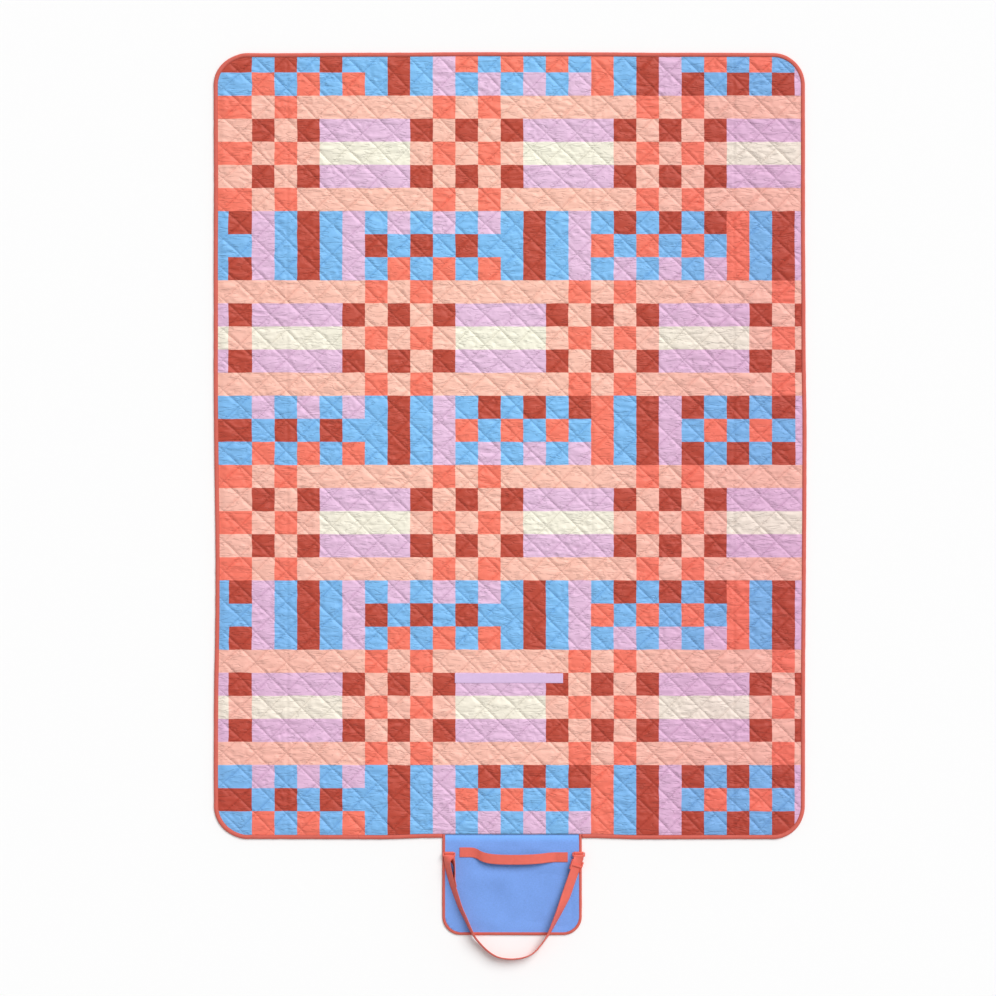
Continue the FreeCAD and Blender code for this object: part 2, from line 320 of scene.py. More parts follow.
def fold_blend(piece):
    """Bake a piece's placement into its mesh."""
    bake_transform(piece)


def puffed_cloth():
    """The height of the cloth over its seams: a cloth simulation, pinned along every seam."""
    first_puff, first_lumps, settled_share, last_frame = 0.0030, 0.0009, 1.15, 20
    coarse = np.s_[::2, ::2]
    column, row = grid_column[coarse], grid_row[coarse]
    across, along = seam_distance(column, row)
    lumps = cloth_noise(column / 6.0, row / 2.6, 11) - 0.5
    puff = first_puff * np.sqrt(across * along) + first_lumps * lumps * smooth(0, 0.3, across * along)
    row_count, column_count = column.shape[0] - 1, column.shape[1] - 1
    mesh, at_column, at_row = grid_mesh("cloth_on_seams", column_count, row_count)
    at = (at_row, at_column)
    start = np.stack([sheet_x[coarse][at], sheet_y[coarse][at], puff[at]], 1)
    move_vertices(mesh, start)
    cloth = bpy.data.objects.new("cloth_on_seams", mesh)
    scene.collection.objects.link(cloth)
    held = (across * along)[at] == 0
    held |= (at_column == 0) | (at_column == column_count) | (at_row == 0) | (at_row == row_count)
    seams = cloth.vertex_groups.new(name="seams")
    seams.add(np.flatnonzero(held).tolist(), 1.0, "REPLACE")
    modifier = cloth.modifiers.new("Cloth", "CLOTH")
    settings = modifier.settings
    settings.quality = 3
    settings.mass = 0.05
    settings.bending_stiffness = 0.4
    settings.vertex_group_mass = "seams"
    settings.shrink_min = -0.018
    settings.use_pressure = True
    settings.uniform_pressure_force = 4.0
    settings.effector_weights.gravity = 0
    modifier.collision_settings.use_collision = False
    modifier.point_cache.frame_end = last_frame
    for step in range(1, last_frame + 1):
        scene.frame_set(step)
    depsgraph = bpy.context.evaluated_depsgraph_get()
    settled = cloth.evaluated_get(depsgraph).to_mesh()
    height = np.zeros(column.shape)
    height[at] = vertex_points(settled)[:, 2]
    bpy.data.objects.remove(cloth)
    scene.frame_set(1)
    return height


def doubled(field):
    """A grid of values at twice the resolution, along its last axis, through a smooth curve."""
    padded = np.concatenate([field[:, :1], field, field[:, -1:]], 1)
    between = (9 * (padded[:, 1:-2] + padded[:, 2:-1]) - padded[:, :-3] - padded[:, 3:]) / 16
    finer = np.empty((field.shape[0], field.shape[1] * 2 - 1))
    finer[:, ::2] = field
    finer[:, 1::2] = between
    return finer


seam_height = 0.0020
puff_limit = 0.0026
falling, rising = seam_distance(grid_column, grid_row)
middle_to_seam = 0.0275
seam_gap = np.minimum(falling, rising) * middle_to_seam
puff = doubled(doubled(puffed_cloth()).T).T
puff = puff_limit * np.tanh(1.8 * np.maximum(puff, 0) / puff_limit)

# Fine creases run mostly across the blanket, where the stitching gathers the sheet
drift = cloth_noise(sheet_x / 0.09, sheet_y / 0.05, 21) * 2.2
creases = 0
for length, pitch, depth, seed in ((0.052, 0.0145, 0.00210, 31), (0.030, 0.0100, 0.00110, 32)):
    lump = cloth_noise(sheet_x / length + drift * 0.4, sheet_y / pitch + drift, seed)
    creases = creases + depth * (1 - 2 * np.abs(2 * lump - 1))
crease_reach = smooth(0.0, 0.010, seam_gap) * (0.35 + 0.65 * cloth_noise(sheet_x / 0.12, sheet_y / 0.12, 41))
valley_depth, valley_width = 0.0009, 0.0034
seam_valley = valley_depth * np.exp(-((seam_gap / valley_width) ** 2))

# A shallow crease wanders along each fold line, with a soft ridge beside it
fold_line = 0
for name in ("left_outer_fold", "left_inner_fold", "right_inner_fold", "right_outer_fold"):
    wander = 0.0016 * (cloth_noise(sheet_y / 0.11, sheet_y * 0 + 0.5, 51) - 0.5)
    off = sheet_x - fold_x[name] - wander
    fold_line = fold_line + np.exp(-((off / 0.0034) ** 2)) - 0.4 * np.exp(-(((off - 0.009) / 0.006) ** 2))


def upward_normals(height, across, along):
    """The upward normals of a height field with the given steps."""
    slope_y, slope_x = np.gradient(height, -along, across)
    normals = np.stack([-slope_x, -slope_y, np.ones_like(slope_x)], -1)
    return normals / np.linalg.norm(normals, axis=-1, keepdims=True)


def patch(low, high, margin, x, y):
    """A soft mask, 1 inside a rectangle and 0 beyond its margin."""
    inside = 1
    for value, first, last in ((x, low.x, high.x), (y, low.y, high.y)):
        inside = inside * smooth(first - margin, first, value) * smooth(-last - margin, -last, -value)
    return inside


loop_low, loop_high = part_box("loop_tape")
tape_bed = 0.0046
under_tape = patch(loop_low, loop_high, 0.006, sheet_x, sheet_y)
inside = rim_distance(sheet_x, sheet_y, half_width, half_length, corner_radius)
flap_low, flap_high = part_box("flap_binding")
at_flap = (sheet_x > flap_low.x) & (sheet_x < flap_high.x)
near_flap = at_flap * smooth(0.95, 0.97, -sheet_y)
fold_depth = 0.0012
relief = seam_height + puff + creases * crease_reach - seam_valley - fold_depth * fold_line
relief = relief * (1 - under_tape) + (tape_bed - 0.0002 + creases * 0.2) * under_tape
tuck_height = 0.0026
at_edge = tuck_height + (relief - tuck_height) * smooth(0.0085, 0.024, inside)
seam_inside = inside - (half_length + seam_y)
rolled_height, rolled_width = 0.0010, 0.014
rolled = rolled_height + (relief - rolled_height) * np.sqrt(np.clip(seam_inside / rolled_width, 0, 1))
highest = quilt_thickness + 0.0003
sheet_z = np.clip(at_edge * (1 - near_flap) + rolled * near_flap, rolled_height, highest)
sheet_normal = upward_normals(sheet_z, step_x, step_y)
gather_x, gather_y = (
    0.0016 * (cloth_noise(sheet_x / 0.03, sheet_y / 0.02, seed) - 0.5) * smooth(0.012, 0.03, inside)
    for seed in (61, 62)
)

# The print: bands of blue check between bands of peach, every block one ink
# The inks are maroon, coral, peach, lilac, off-white and blue; a line is one repeat of a row of checks
check_width = 0.05773
check_length = 0.05893
print_left = -0.718
print_top = 0.9522
inks = {
    "M": (0.482, 0.054, 0.026),
    "C": (0.915, 0.186, 0.122),
    "P": (0.925, 0.508, 0.412),
    "L": (0.740, 0.482, 0.690),
    "W": (0.870, 0.825, 0.700),
    "B": (0.192, 0.482, 0.855),
}
blue_lines = (
    "BLBLBL" "BMBL" "BMBMBM" "CBML" "MBMBM" "LBMBL",
    "MBMBMB" "BMBL" "CBCBCB" "CBML" "BCBCB" "LBMBL",
    "BCBCBC" "BMBL" "BLBLBL" "CBML" "MBMBM" "LBMBL",
)
peach_lines = (
    "PCPCP" "WWWW",
    "MPMPM" "LLLL",
    "PCPCP" "PPPP",
)
rows_in_band_pair = 8
last_row_end = 34.99
blue_rows = 3


def eased(signal, low, high):
    """Rise smoothly from 0 to 1 as a signal goes from low to high."""
    return signal.node("MapRange", {"interpolation_type": "SMOOTHSTEP"}, {0: signal, 1: low, 2: high})


def part_of(signal, axis):
    """One coordinate of a place: 0, 1 or 2 for x, y or z."""
    return signal.node("SeparateXYZ", {}, {0: signal}, axis)


def mixed(start, factor, first, second, blend="MIX"):
    """Two colours mixed, or multiplied."""
    return start.node("Mix", {"data_type": "RGBA", "blend_type": blend}, {0: factor, 6: first, 7: second}, 2)


def noise(start, place, scale, detail):
    """Noise over a place, with one scale or a scale for each axis."""
    if isinstance(scale, tuple):
        place = start.node("Mapping", {}, {"Vector": place, "Scale": scale})
        scale = 1.0
    return start.node("TexNoise", {}, {"Vector": place, "Scale": scale, "Detail": detail})


def surface(shader, colour, height, strength):
    """Join a colour and a height in metres to a shader."""
    links = colour.tree.links
    links.new(colour.socket, shader.inputs["Base Color"])
    bump = colour.node("Bump", {}, {"Strength": strength, "Distance": 1.0, "Height": height})
    links.new(bump.socket, shader.inputs["Normal"])


def printed_blocks(start, flat):
    """The block print: which ink lies at each point of the flat sheet."""
    across = part_of(flat, 0) * (1 / check_width) - print_left / check_width
    down = 2 + print_top / check_length - part_of(flat, 1) * (1 / check_length)
    down = down.maths("MINIMUM", down, last_row_end)
    pair = across.maths("FLOOR", down * (1 / rows_in_band_pair))
    row = across.maths("FLOOR", down - pair * rows_in_band_pair)
    shifted = across.maths("MODULO", pair, 2.0)
    across = across.maths("FLOOR", across) + 0.5
    selvedge = across.maths("LESS_THAN", across, 0.0)
    blue_place = across - shifted * 6 + selvedge * (1 + shifted * 12)
    peach_place = across + 1 - shifted * 6 + selvedge * (1 + shifted)

    def line_of_blocks(line, place):
        stops = []
        for index, ink in enumerate(line):
            if index == 0 or ink != line[index - 1]:
                stops.append((index / len(line), inks[ink]))
        turn = place * (1 / len(line))
        turn = turn - turn.maths("FLOOR", turn)
        return start.node("ValToRGB", {"stops": stops}, {0: turn})

    blue = [line_of_blocks(line, blue_place) for line in blue_lines]
    peach = [line_of_blocks(line, peach_place) for line in peach_lines]
    from_middle = across.maths("ABSOLUTE", row - 5)
    blue_part = mixed(start, row.maths("GREATER_THAN", row, 0.5), blue[0], blue[1])
    blue_part = mixed(start, row.maths("GREATER_THAN", row, 1.5), blue_part, blue[2])
    peach_part = mixed(start, row.maths("GREATER_THAN", from_middle, 0.5), peach[0], peach[1])
    peach_part = mixed(start, row.maths("GREATER_THAN", from_middle, 1.5), peach_part, peach[2])
    return mixed(start, row.maths("GREATER_THAN", row, blue_rows - 0.5), blue_part, peach_part)


def thread_lines(start, flat, width):
    """Masks of the quilting: the groove along each seam and the thread's stitches in it."""
    u = (part_of(flat, 0) - crossing[0]) * (1 / diamond_width)
    v = (part_of(flat, 1) - crossing[1]) * (1 / diamond_length)
    stitch_pitch = 0.0034
    dash = u.maths("FRACT", u * (diamond_width * 1.4142 / stitch_pitch))
    on_stitch = dash.maths("LESS_THAN", dash, 0.72)
    groove = None
    for place in (u + v, u - v):
        gap = place.maths("PINGPONG", place, 0.5) * (diamond_width * 0.7071)
        line = 1 - eased(gap, 0.0, width)
        groove = line if groove is None else groove.maths("MAXIMUM", groove, line)
    return groove, groove.maths("GREATER_THAN", groove, 0.8) * on_stitch


def tinted(start, colour, tone):
    """A colour made lighter or darker by a number near 1."""
    grey = start.node("CombineColor", {}, {0: tone, 1: tone, 2: tone})
    return mixed(start, 1.0, colour, grey, "MULTIPLY")


def painted_falloff(start, flat, colour):
    """Painted light falloff: the print is painted palest along its middle and head, and darker towards both sides and
    the foot.
    """
    x = part_of(flat, 0)
    y = part_of(flat, 1)
    deep = 0
    for place, pale_at, deep_at, share in ((x, 0.10, 0.65, 0.80), (x, -0.20, -0.70, 0.30), (y, 0.30, -0.95, 0.35)):
        reach = eased(place, pale_at, deep_at)
        deep = reach * share + deep
    deep = deep.maths("MINIMUM", deep, 1.0)
    tint = mixed(start, deep, (1.03, 1.05, 1.02, 1), (0.94, 0.83, 0.87, 1))
    return mixed(start, 1.0, colour, tint, "MULTIPLY")


def weave_height(start, flat, threads_per_metre):
    """The bumps of a plain weave on the flat cloth."""
    height = 0
    for direction in "XY":
        settings = {"bands_direction": direction}
        wave = start.node("TexWave", settings, {"Vector": flat, "Scale": threads_per_metre / 2, "Distortion": 1.0})
        height = wave + height
    return height


def cotton_material():
    """Printed plain-weave cotton: inks a little uneven, fine threads and the quilting stitches, with painted shade in
    the creases and seam grooves and a painted shadow along the flap seam.
    """
    material, start, shader = new_material("printed_cotton", Roughness=0.58, Specular_IOR_Level=0.5)
    shader.inputs["Sheen Weight"].default_value = 0.10
    flat = start.node("UVMap", {"uv_map": "flat"}, {})
    patches = noise(start, flat, 55.0, 3.0)
    slub = noise(start, flat, (260.0, 900.0, 1.0), 2.0)
    groove, stitch = thread_lines(start, flat, 0.0016)
    # Painted shadow: a dark strip painted along the flap seam, where the print's edge turns down into the groove
    above_seam = part_of(flat, 1) - seam_y
    seam_shadow_line = 1 - eased(above_seam, 0.0028, 0.0046)
    sharp_map = start.node("Mapping", {}, {"Vector": flat, "Rotation": (0, 0, 0.06), "Scale": (15.0, 76.0, 1.0)})
    sharp = start.node("TexNoise", {}, {"Vector": sharp_map, "Scale": 1.0, "Detail": 2.0, "Distortion": 0.5})
    off_crease = sharp.maths("ABSOLUTE", sharp - 0.5)
    crease = 1 - eased(off_crease, 0.0, 0.045)
    crease = crease * eased(patches, 0.38, 0.55)
    # Painted shade: the tone darkens the creases, the seam grooves and their stitches, and the strip along the flap
    # seam
    tone = 0.945 - crease * 0.06 + patches * 0.12 + slub * 0.08 - groove * 0.10 - stitch * 0.06 - seam_shadow_line * 0.55
    # The print is darkened towards the sides and the foot as painted light falloff
    colour = tinted(start, painted_falloff(start, flat, printed_blocks(start, flat)), tone)
    crumple = noise(start, flat, (26.0, 95.0, 1.0), 3.0)
    height = weave_height(start, flat, 600) * 0.00004 + crumple * 0.0018 - crease * 0.0016 - groove * 0.0007
    height = height + stitch * 0.0002
    surface(shader, colour, height, 0.7)
    return material


def lattice_column(x):
    return int(round((x - crossing[0]) / step_x / 2)) * 2 - columns[0]


top_inset = 0.004
printed_cotton = cotton_material()
cuts = [0, lattice_column(-inner_middle), lattice_column(0.0), lattice_column(inner_middle), len(columns) - 1]
for stretch, first, last in zip(stretches, cuts[:-1], cuts[1:]):
    mesh, at_column, at_row = grid_mesh("quilt_top_" + stretch, last - first, len(rows) - 1)
    at = (at_row, at_column + first)
    x, y = as_it_lies(sheet_x[at] + gather_x[at], sheet_y[at] + gather_y[at])
    move_vertices(mesh, np.stack([x, y, sheet_z[at]], 1))
    map_flat(mesh, "flat", np.stack([sheet_x[at], sheet_y[at]], 1))
    beyond_seam = (near_flap[at] > 0) & (grid_row[at] > seam_row)
    unwanted = (inside[at] < top_inset * (near_flap[at] == 0)) | beyond_seam
    piece = add_cloth("quilt_top_" + stretch, mesh, sheet_normal[at], unwanted, printed_cotton)
    fold_blend(piece)
    for panel_name in stretch_nodes[stretch]:
        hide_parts("top_sheet_" + panel_name, "wadding_" + panel_name)


# Backing: one sheet of coated cloth against the ground, caught by the same seams as the top.
# It lies flat, and each seam draws it up a little; it is cut in the same four stretches.
backing_blue = (0.150, 0.340, 0.760)
backing_inset = 0.003
coarse = np.s_[::2, ::2]
backing_rise = 0.0004 * np.exp(-((seam_gap[coarse] / 0.0040) ** 2)) + 0.0002
backing_rise = backing_rise + 0.0001 * cloth_noise(sheet_x[coarse] / 0.03, sheet_y[coarse] / 0.02, 71)
backing_normal = -upward_normals(backing_rise, 2 * step_x, 2 * step_y)


def backing_material():
    """Coated woven polyester: smooth, slightly shiny, with the quilting stitches through it."""
    material, start, shader = new_material("backing_cloth", Roughness=0.46, Specular_IOR_Level=0.4)
    flat = start.node("UVMap", {"uv_map": "flat"}, {})
    patches = noise(start, flat, 30.0, 4.0)
    groove, stitch = thread_lines(start, flat, 0.0016)
    # Painted shade: the seam grooves are darkened; the stitches are lighter thread
    tone = 0.93 + patches * 0.14 - groove * 0.10 + stitch * 0.12
    colour = tinted(start, backing_blue + (1,), tone)
    crumple = noise(start, flat, (60.0, 150.0, 1.0), 3.0)
    height = weave_height(start, flat, 900) * 0.00003 + crumple * 0.0006 - groove * 0.0004 + stitch * 0.0002
    surface(shader, colour, height, 0.6)
    return material


backing_cloth = backing_material()
for stretch, first, last in zip(stretches, cuts[:-1], cuts[1:]):
    mesh, at_column, at_row = grid_mesh("backing_" + stretch, (last - first) // 2, (len(rows) - 1) // 2)
    at = (at_row, at_column + first // 2)
    flat_place = np.stack([sheet_x[coarse][at], sheet_y[coarse][at]], 1)
    x, y = as_it_lies(sheet_x[coarse][at], sheet_y[coarse][at])
    move_vertices(mesh, np.stack([x, y, backing_rise[at]], 1))
    mesh.flip_normals()
    map_flat(mesh, "flat", flat_place)
    unwanted = inside[coarse][at] < backing_inset
    piece = add_cloth("backing_stretch_" + stretch, mesh, backing_normal[at], unwanted, backing_cloth)
    fold_blend(piece)
    (last - first) * step_x
    "quilt_top_" + stretch
    for panel_name in stretch_nodes[stretch]:
        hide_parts("backing_" + panel_name)


# Edge binding: coral woven tape folded over the quilt's raw edge and sewn through with one row of stitches.
# It runs right round the blanket and stops each side of the flap.
binding_coral = (0.655, 0.132, 0.100)
binding_profile = (
    (0.0086, 0.0028), (0.0079, 0.0040), (0.0063, 0.0049), (0.0042, 0.0053), (0.0022, 0.0052),
    (0.0003, 0.0046), (-0.0011, 0.0036), (-0.0018, 0.0022), (-0.0012, 0.0010), (0.0006, 0.0003),
    (0.0050, 0.0001), (0.0100, 0.0001),
)


def edge_path(corners, radius, spacing):
    """Places along straight runs joined by round corners, and the outward direction at each."""
    corners = [np.array(corner, float) for corner in corners]
    run = [corners[0]]
    for before, corner, after in zip(corners, corners[1:], corners[2:]):
        arrive = (corner - before) / np.linalg.norm(corner - before)
        leave = (after - corner) / np.linalg.norm(after - corner)
        middle = corner + radius * (leave - arrive)
        for turn in np.linspace(0, math.pi / 2, 33):
            run.append(middle - radius * leave * math.cos(turn) + radius * arrive * math.sin(turn))
    run = np.array(run + [corners[-1]])
    travelled = np.concatenate([[0], np.cumsum(np.linalg.norm(np.diff(run, axis=0), axis=1))])
    count = int(round(travelled[-1] / spacing)) + 1
    at = np.linspace(0, travelled[-1], count)
    place = np.stack([np.interp(at, travelled, run[:, 0]), np.interp(at, travelled, run[:, 1])], 1)
    heading = np.gradient(place, axis=0)
    heading /= np.linalg.norm(heading, axis=1, keepdims=True)
    return place, np.stack([heading[:, 1], -heading[:, 0]], 1), at


def edge_strip(name, path, profile, seed, waver):
    """A strip folded over an edge: the profile gives its depth in from the edge and its height."""
    place, outward, at = path
    mesh, along, across = grid_mesh(name, len(place) - 1, len(profile) - 1)
    depth, height = np.array(profile)[across].T
    lump = cloth_noise(at[along] / 0.019, along * 0 + 0.5, seed) - 0.5
    slow = cloth_noise(at[along] / 0.16, along * 0 + 0.5, seed + 1) - 0.5
    pucker = cloth_noise(at[along] / 0.006, along * 0 + 0.5, seed + 2) - 0.5
    depth = depth - waver * (lump * 0.6 + slow * 1.6) + 0.0006 * lump * (depth > 0.007)
    height = height * (1 + 0.10 * lump + 0.10 * pucker)
    spot = place[along] - outward[along] * depth[:, None]
    x, y = as_it_lies(spot[:, 0], spot[:, 1])
    move_vertices(mesh, np.stack([x, y, height], 1))
    reach = np.concatenate([[0], np.cumsum(np.hypot(*np.diff(np.array(profile), axis=0).T))])
    map_flat(mesh, "flat", np.stack([at[along], reach[across]], 1))
    return mesh


def wall(piece, thickness, offset=-1.0):
    """Give a sheet its thickness."""
    solid = piece.modifiers.new("Solidify", "SOLIDIFY")
    solid.thickness = thickness
    solid.offset = offset


def tape_material(name, colour, seam_place):
    """Woven tape with fine ribs, a row of stitches in a groove darkened as painted shade, and a little unevenness."""
    material, start, shader = new_material(name, Roughness=0.78, Specular_IOR_Level=0.3)
    flat = start.node("UVMap", {"uv_map": "flat"}, {})
    along = part_of(flat, 0)
    across = part_of(flat, 1)
    patches = noise(start, flat, 60.0, 4.0)
    from_seam = across.maths("ABSOLUTE", across - seam_place)
    groove = 1 - eased(from_seam, 0.0, 0.0012)
    dash = along.maths("FRACT", along * (1 / 0.0036))
    stitch = groove.maths("GREATER_THAN", groove, 0.7) * dash.maths("LESS_THAN", dash, 0.7)
    # Painted shade: the stitch groove is darkened
    tone = 0.90 + patches * 0.22 - groove * 0.14 + stitch * 0.16
    colour = tinted(start, colour + (1,), tone)
    rib_map = start.node("Mapping", {}, {"Vector": flat, "Scale": (1.0, 0.4, 1.0)})
    ribs = start.node("TexWave", {"bands_direction": "X"}, {"Vector": rib_map, "Scale": 320.0, "Distortion": 0.6})
    height = ribs * 0.00008 + patches * 0.0006 - groove * 0.0005 + stitch * 0.0003
    surface(shader, colour, height, 0.7)
    return material


def keep_between(mesh, low, high):
    """Cut a mesh off at two upright planes across x."""
    shell = bmesh.new()
    shell.from_mesh(mesh)
    for place, facing in ((low, -1), (high, 1)):
        parts = shell.verts[:] + shell.edges[:] + shell.faces[:]
        bmesh.ops.bisect_plane(shell, geom=parts, plane_co=(place, 0, 0), plane_no=(facing, 0, 0), clear_outer=True)
    shell.to_mesh(mesh)
    shell.free()


edge_binding = tape_material("edge_binding", binding_coral, 0.0022)
bottom, top_edge = -half_length, half_length
binding_corners = (
    (flap_high.x, bottom), (half_width, bottom), (half_width, top_edge),
    (-half_width, top_edge), (-half_width, bottom), (flap_low.x, bottom),
)
binding_path = edge_path(binding_corners, corner_radius, 0.004)
stretch_ends = [-half_width - 0.01, -inner_middle, 0.0, inner_middle, half_width + 0.01]
for stretch, low, high in zip(stretches, stretch_ends[:-1], stretch_ends[1:]):
    mesh = edge_strip("binding_stretch_" + stretch, binding_path, binding_profile, 81, 0.0010)
    keep_between(mesh, low, high)
    piece = add_piece("binding_stretch_" + stretch, mesh, edge_binding)
    wall(piece, 0.0006)
    fold_blend(piece)
    for panel_name in stretch_nodes[stretch]:
        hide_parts("binding_" + panel_name)


# Flap: two layers of blue canvas with a thin stiffener between them, sewn under the blanket's edge.
# Its own coral binding goes round the three free sides.
canvas_blue = (0.203, 0.375, 0.850)
# A lighter, bluer canvas colour, used only for the painted highlight below the seam
canvas_highlight_blue = (0.205, 0.440, 0.960)
flap_corner = 0.048
flap_step = 0.004
flap_overlap = 0.0018
flap_start = seam_y + flap_overlap
flap_face_height = 0.0034
flap_back_height = 0.0013
flap_swell = 0.0100
flap_binding_width = 0.0072


def flap_blend(piece):
    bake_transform(piece)


def canvas_material():
    """Plain blue canvas: a visible even weave, soft unevenness, a painted highlight below the seam and a painted
    shadow right at it.
    """
    material, start, shader = new_material("flap_canvas", Roughness=0.82, Specular_IOR_Level=0.25)
    flat = start.node("UVMap", {"uv_map": "flat"}, {})
    patches = noise(start, flat, 26.0, 4.0)
    threads = noise(start, flat, (420.0, 170.0, 1.0), 2.0)
    fine = noise(start, flat, (150.0, 400.0, 1.0), 2.0)
    below_seam = seam_y - part_of(flat, 1)
    # Painted shadow: the canvas is darkened in a line just under the seam
    open_cloth = eased(below_seam, 0.0, 0.0022)
    # Painted highlight: the canvas is painted lighter and bluer for a few centimetres below the seam
    seam_highlight = 1 - eased(below_seam, 0.002, 0.022)
    tone = 0.70 + patches * 0.14 + threads * 0.24 + fine * 0.22 - (1 - open_cloth) * 0.62 + seam_highlight * 0.08
    colour = mixed(start, seam_highlight, canvas_blue + (1,), canvas_highlight_blue + (1,))
    colour = tinted(start, colour, tone)
    height = weave_height(start, flat, 640) * 0.00010 + patches * 0.0010
    surface(shader, colour, height, 0.7)
    return material


flap_canvas = canvas_material()
flap_count_x = int(round((flap_high.x - flap_low.x) / flap_step))
flap_count_y = int(round((flap_start - flap_low.y) / flap_step))
for name, is_top in (("flap_face", True), ("flap_back", False)):
    mesh, at_column, at_row = grid_mesh(name, flap_count_x, flap_count_y)
    x = flap_low.x + at_column * (flap_high.x - flap_low.x) / flap_count_x
    y = flap_start + at_row * (flap_low.y - flap_start) / flap_count_y
    middle_x = (flap_low.x + flap_high.x) / 2
    rim = rim_distance(x - middle_x, y - (flap_low.y + 0.5), (flap_high.x - flap_low.x) / 2, 0.5, flap_corner)
    open_cloth = smooth(0.006, 0.040, rim) * smooth(-flap_start + 0.075, -flap_start + 0.125, -y)
    near_seam = smooth(0.006, 0.030, -y + seam_y) * (1 - smooth(0.030, 0.055, -y + seam_y))
    swell = cloth_noise(x / 0.11 + 3.1, y / 0.09, 91) - 0.45 + 0.5 * (cloth_noise(x / 0.045, y / 0.06, 92) - 0.5)
    if is_top:
        z = flap_face_height + flap_swell * swell * open_cloth
        z = z + 0.0022 * near_seam * (cloth_noise(x / 0.05, y / 0.03, 93) - 0.3)
        rise = np.sqrt(np.clip((flap_start - y) / 0.018, 0.01, 1))
        z = np.maximum(flap_back_height + (z - flap_back_height) * rise, 0.0012)
    else:
        z = flap_back_height + 0.0006 * swell * open_cloth
    move_vertices(mesh, np.stack([x, y, z], 1))
    if not is_top:
        mesh.flip_normals()
    map_flat(mesh, "flat", np.stack([x, y], 1))
    trim(mesh, rim < 0.0025)
    piece = add_piece(name, mesh, flap_canvas)
    wall(piece, 0.0004)
    flap_blend(piece)
    if is_top:
        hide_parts("flap_canvas", "seam_facing")
    else:
        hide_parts("flap_lining", "flap_stiffener")

flap_profile = (
    (flap_binding_width, 0.0034), (0.0067, 0.0041), (0.0052, 0.0046), (0.0034, 0.0046), (0.0016, 0.0041),
    (0.0004, 0.0032), (0.0, 0.0023), (0.0004, 0.0014), (0.0020, 0.0008), (0.0050, 0.0007),
    (flap_binding_width, 0.0009),
)
flap_corners = (
    (flap_low.x, flap_start), (flap_low.x, flap_low.y), (flap_high.x, flap_low.y), (flap_high.x, flap_start),
)
mesh = edge_strip("flap_edge", edge_path(flap_corners, flap_corner, 0.003), flap_profile, 86, 0.0008)
piece = add_piece("flap_edge", mesh, edge_binding)
wall(piece, 0.0005)
flap_blend(piece)
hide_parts("flap_binding")


# Tapes: soft lilac loop tape sewn flat on the print, and its hook tape under the flap's free end.
# They hold the rolled blanket shut; each is one strip.
tape_lilac = (0.730, 0.530, 0.790)
pile_height = 0.0011


def fastening_material(name, colour, tuft_scale, tuft_depth):
    """Loop or hook tape: a dense pile of fine tufts."""
    material, start, shader = new_material(name, Roughness=0.9, Specular_IOR_Level=0.2)
    flat = start.node("UVMap", {"uv_map": "flat"}, {})
    tufts = noise(start, flat, tuft_scale, 3.0)
    patches = noise(start, flat, 90.0, 2.0)
    tone = 0.84 + tufts * 0.18 + patches * 0.12
    colour = tinted(start, colour + (1,), tone)
    surface(shader, colour, tufts * tuft_depth, 0.8)
    return material


for name, body, base, tufts in (("loop_tape", "centre_panel", tape_bed, 900.0), ("hook_tape", "flap", 0.0, 1300.0)):
    low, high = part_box(name)
    count_x, count_y = 110, 8
    mesh, at_column, at_row = grid_mesh(name + "_pile", count_x, count_y)
    x = low.x + (high.x - low.x) * at_column / count_x
    y = high.y - (high.y - low.y) * at_row / count_y
    z = np.full(len(x), base + pile_height)
    if name == "loop_tape":
        z = z + 0.0008 * (cloth_noise(x / 0.05, y / 0.05, 95) - 0.5)
        y = y + 0.0012 * (cloth_noise(x / 0.09, x * 0 + 0.5, 96) - 0.5)
    move_vertices(mesh, np.stack([x, y, z], 1))
    map_flat(mesh, "flat", np.stack([x, y], 1))
    piece = add_piece(name + "_pile", mesh, fastening_material(name, tape_lilac, tufts, 0.0006))
    wall(piece, pile_height)
    softened = piece.modifiers.new("Bevel", "BEVEL")
    softened.width = 0.0004
    softened.segments = 2
    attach(piece, body)
    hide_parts(name)


# Carry handle: a length of coral webbing sewn to the flap at each end with a crossed box of stitches.
# Its middle stands off the flap as a grip; it is made as two halves, each bending at its sewn end.
webbing_coral = (0.800, 0.148, 0.108)
webbing_width = 0.025
webbing_thickness = 0.0016
flap_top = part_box("flap_canvas")[1].z


